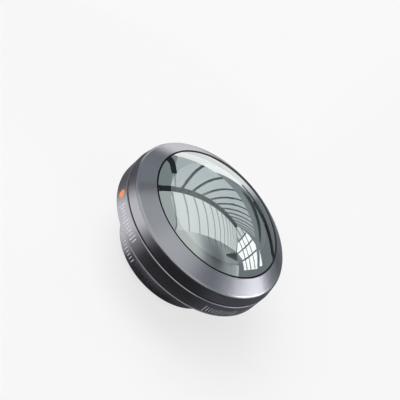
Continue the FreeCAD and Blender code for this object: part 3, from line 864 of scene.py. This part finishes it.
    def stretch_slopes(self):
        """The cloth of the two slopes, greyer or darker in its near stretches."""
        pale = emitter("canopy_cloth_pale", "#EFF2F1", strength=1.15)
        grey = emitter("canopy_cloth_grey", "#CED5D4")
        shade = emitter("canopy_cloth_shade", "#D5DDE1")
        near_shade = emitter("canopy_cloth_near", "#9CA6AA")
        canopy_strip("canopy_slope_high_near", RIDGE, HIGH_EAVE, CANOPY_START, GREY_CLOTH_START, pale)
        canopy_strip("canopy_slope_high_grey", RIDGE, HIGH_EAVE, GREY_CLOTH_START, RIB_PITCH, grey)
        canopy_strip("canopy_slope_high", RIDGE, HIGH_EAVE, RIB_PITCH, CANOPY_END, pale)
        canopy_strip("canopy_slope_low_near", RIDGE, LOW_EAVE, CANOPY_START, RIB_PITCH, near_shade)
        canopy_strip("canopy_slope_low", RIDGE, LOW_EAVE, RIB_PITCH, CANOPY_END, shade)

    def hang_ribs(self):
        """The ribs of the two slopes, the high ribs' tails, the slanted rib and the ridge beam."""
        soft = emitter("canopy_rib_soft", "#959EA1")
        dark = emitter("canopy_rib_dark", "#30353A")
        for name, eave, first, widths, rib in (("high", HIGH_EAVE, 1, HIGH_RIB_WIDTHS, soft),
                                               ("low", LOW_EAVE, 2, LOW_RIB_WIDTHS, dark)):
            for number in range(first, RIB_COUNT + 1):
                along = RIB_PITCH * number
                canopy_bar(f"canopy_rib_{name}_{number}", section(RIDGE, along, RIB_NEARER),
                           section(eave, along, RIB_NEARER), widths, rib)
        for number in range(RIB_TAIL_FIRST, RIB_COUNT + 1):
            along = RIB_PITCH * number
            canopy_bar(f"canopy_rib_tail_{number}", section(HIGH_EAVE, along, RIB_NEARER),
                       section(on_high_wall(RIB_TAIL), along, RIB_NEARER), RIB_TAIL_WIDTHS, dark)
        self.hang_slanted_rib(soft, dark)
        canopy_bar("canopy_ridge", section(BEAM_NEAR_END, CANOPY_START, BEAM_NEARER),
                   section(RIDGE, CANOPY_END, BEAM_NEARER), BEAM_WIDTHS, dark)

    def hang_slanted_rib(self, soft, dark):
        """The low slope's first rib, pale at the ridge and dark towards the eave."""
        top = Vector(section(RIDGE, SLANTED_RIB_TOP, RIB_NEARER))
        eave = Vector(section(LOW_EAVE, SLANTED_RIB_EAVE, RIB_NEARER))
        middle = top.lerp(eave, SLANTED_RIB_DARK_FROM)
        canopy_bar("canopy_post_thin", top, middle, SLANTED_RIB_THIN_WIDTHS, soft)
        canopy_bar("canopy_post", middle, eave, SLANTED_RIB_DARK_WIDTHS, dark)

    def stretch_walls(self):
        """The walls below the eaves."""
        dark = emitter("canopy_beam_dark", "#24282B")
        self.stretch_low_wall(dark)
        self.stretch_high_wall(dark)

    def stretch_low_wall(self, dark):
        """The wall below the low eave: bright near the lens and shaded farther along, with two beams."""
        bright = emitter("canopy_wall_bright", "#FFFFFF", strength=1.35)
        shade = emitter("canopy_wall_shade", "#8C9499")
        canopy_strip("canopy_wall_low_near", LOW_EAVE, LOW_FOOT, CANOPY_START, LOW_WALL_CHANGE, bright)
        canopy_strip("canopy_wall_low", LOW_EAVE, LOW_FOOT, LOW_WALL_CHANGE, CANOPY_END, shade)
        canopy_bar("canopy_low_beam", *LOW_BEAM, dark)
        canopy_bar("canopy_low_post", *LOW_POST, dark)

    def stretch_high_wall(self, dark):
        """The wall below the high eave, with its panes, their bars and a dark wedge."""
        canopy_strip("canopy_wall_high", HIGH_EAVE, HIGH_FOOT, CANOPY_START, CANOPY_END,
                     self.smudged_cloth())
        for number, (along, top, colour) in enumerate(PANES):
            canopy_bar(f"canopy_pane_{number}", section(on_high_wall(top), along, RIB_NEARER),
                       section(on_high_wall(PANE_FOOT), along, RIB_NEARER), PANE_WIDTHS,
                       emitter(f"canopy_pane_{number}", colour))
        first, last = PANES[0][0], PANES[-1][0]
        for number, share in enumerate(PANE_BARS):
            canopy_bar(f"canopy_pane_bar_{number}", section(on_high_wall(share), first, 2 * RIB_NEARER),
                       section(on_high_wall(share), last, 2 * RIB_NEARER), PANE_BAR_WIDTHS, dark)
        canopy_bar("canopy_high_wedge", *HIGH_WEDGE, dark)

    def smudged_cloth(self):
        """Cloth that is pale near the lens and grey farther along, with one soft dark patch."""
        material, tree = new_material("canopy_wall_smudged")
        place = add_node(tree, "ShaderNodeTexCoord").outputs["Object"]
        along = add_node(tree, "ShaderNodeSeparateXYZ", {"Vector": place}).outputs["Y"]
        greying = add_node(tree, "ShaderNodeMapRange", {
            "Value": along, "From Min": HIGH_WALL_PALE_END, "From Max": HIGH_WALL_GREY_START},
            interpolation_type="SMOOTHSTEP")
        cloth = add_node(tree, "ShaderNodeMix", {
            "Factor": greying.outputs["Result"], "A": linear("#EAEFED"), "B": linear("#A9B1B5")},
            data_type="RGBA")
        away = add_node(tree, "ShaderNodeVectorMath", {0: place, 1: SMUDGE_MIDDLE}, operation="DISTANCE")
        clear = add_node(tree, "ShaderNodeMapRange", {
            "Value": away.outputs["Value"], "From Min": SMUDGE_CORE, "From Max": SMUDGE_REACH},
            interpolation_type="SMOOTHSTEP")
        shown = add_node(tree, "ShaderNodeMix", {
            "Factor": clear.outputs["Result"], "A": linear("#697072"), "B": cloth.outputs["Result"]},
            data_type="RGBA")
        glow = add_node(tree, "ShaderNodeEmission", {"Color": shown.outputs["Result"]})
        add_node(tree, "ShaderNodeOutputMaterial", {"Surface": glow.outputs["Emission"]})
        return material

    def raise_gable(self):
        """The gable wall, its window with grey panes and glazing bars, and the small window below."""
        cross_section = (RIDGE, HIGH_EAVE, HIGH_FOOT, LOW_FOOT, LOW_EAVE)
        wall_grey = emitter("gable_frame_grey", "#8C9499")
        bright = emitter("gable_window_bright", "#FFFFFF", strength=1.75)
        grey = emitter("gable_window_grey", "#E3E8EA", strength=1.2)
        for name, outline, along, material in (
                ("gable_wall", cross_section, CANOPY_END, wall_grey),
                ("gable_window", WINDOW, WINDOW_PLACE, bright),
                ("gable_window_low", LOW_WINDOW, WINDOW_PLACE, bright),
                ("gable_panes_grey", GREY_PANES, GREY_PANES_PLACE, grey)):
            stage_sheet(name, [section(spot, along) for spot in outline], material, canopy_frame())
        bar_dark = emitter("gable_bar_dark", "#4A5054")
        for number, (start, end) in enumerate(GLAZING):
            canopy_bar(f"gable_glazing_{number}", section(start, GLAZING_PLACE),
                       section(end, GLAZING_PLACE), GLAZING_WIDTHS, bar_dark)

    def place_camera(self, context):
        """The camera at the photograph's viewing angle."""
        stage = context.scene.lens_stage
        deselect_all()
        bpy.ops.object.camera_add(location=stage.camera_place, rotation=stage.camera_turn)
        camera = bpy.context.object
        camera.name = "camera"
        camera.data.sensor_width = CAMERA_SENSOR
        camera.data.lens = stage.camera_lens
        camera.data.clip_start = CAMERA_NEAREST
        context.scene.camera = camera


class LENS_PT_sidebar(bpy.types.Panel):
    """Buttons for the pieces and the stage"""
    bl_idname = "LENS_PT_sidebar"
    bl_label = "Phone fisheye lens"
    bl_space_type = "VIEW_3D"
    bl_region_type = "UI"
    bl_category = "Lens"

    def draw(self, context):
        for operator in OPERATORS:
            self.layout.operator(operator.bl_idname)
        for group in GROUPS:
            settings = getattr(context.scene, group)
            for name in settings.bl_rna.properties.keys():
                if name not in ("rna_type", "name"):
                    self.layout.prop(settings, name)


OPERATORS = (LENS_OT_metal, LENS_OT_glass, LENS_OT_seals, LENS_OT_housing_ticks, LENS_OT_barrel_ticks,
             LENS_OT_stage)
GROUPS = {
    "lens_finish": LensFinishSettings,
    "lens_marks": LensMarkSettings,
    "lens_stage": LensStageSettings,
}


def register():
    for kind in (*GROUPS.values(), *OPERATORS, LENS_PT_sidebar):
        bpy.utils.register_class(kind)
    for name, kind in GROUPS.items():
        setattr(bpy.types.Scene, name, bpy.props.PointerProperty(type=kind))


def unregister():
    for name in GROUPS:
        delattr(bpy.types.Scene, name)
    for kind in reversed((*GROUPS.values(), *OPERATORS, LENS_PT_sidebar)):
        bpy.utils.unregister_class(kind)


def main():
    register()
    bpy.ops.lens.metal()
    bpy.ops.lens.glass()
    bpy.ops.lens.seals()
    bpy.ops.lens.housing_ticks()
    bpy.ops.lens.barrel_ticks()
    bpy.ops.lens.stage()


if __name__ == "__main__":
    main()
